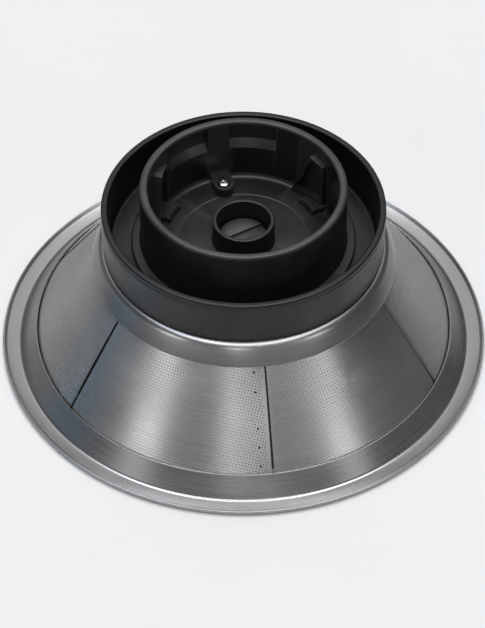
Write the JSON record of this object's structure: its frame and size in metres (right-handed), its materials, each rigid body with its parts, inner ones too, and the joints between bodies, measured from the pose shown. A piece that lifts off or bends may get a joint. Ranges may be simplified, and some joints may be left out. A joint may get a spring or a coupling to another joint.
{
  "type": "juicer filter basket",
  "caption": "Spinning filter basket of a centrifugal juicer: a cone of fine steel mesh panels in a flanged rim, with a grater disc inside and a black plastic drive hub.",
  "frame": {"origin": "centre of the circle that the rim rests on, at the base of the part", "axes": "+Z along the axis that the basket spins about, from the rim towards the drive hub; -Y is the side that faces the viewer"},
  "size_m": [0.19, 0.19, 0.0801],
  "materials": {
    "spun_steel": "satin spun stainless steel with fine turning lines",
    "mesh_steel": "etched stainless mesh, satin",
    "hub_plastic": "satin black moulded plastic",
    "coupling_plastic": "semi-gloss black moulded plastic, lightly rubbed",
    "lock_plastic": "satin dark grey moulded plastic",
    "bright_steel": "bright plated steel",
    "seal_rubber": "soft grey rubber"
  },
  "bodies": {
    "basket": {"base_pan": "spun_steel", "blind_nut_1": "bright_steel", "blind_nut_2": "bright_steel", "blind_nut_3": "bright_steel", "centre_cone": "lock_plastic", "centre_seal": "seal_rubber", "drive_coupling": "coupling_plastic", "grater_disc": "spun_steel", "hub_screw_1": "bright_steel", "hub_screw_2": "bright_steel", "hub_screw_3": "bright_steel", "hub_skirt": "hub_plastic", "lock_washer": "bright_steel", "mesh_panel_1": "mesh_steel", "mesh_panel_2": "mesh_steel", "mesh_panel_3": "mesh_steel", "mesh_panel_4": "mesh_steel", "mesh_panel_5": "mesh_steel", "mesh_panel_6": "mesh_steel", "rim_inner_ring": "spun_steel", "rim_ring": "spun_steel"},
    "centre_lock": {"centre_lock": "lock_plastic"}
  },
  "joints": [
    {"name": "centre_lock_turn", "type": "hinge", "parent": "basket", "child": "centre_lock", "pos_m": [0, 0, 0.0527], "axis": [0, 0, 1], "range_deg": [0, 90]}
  ]
}
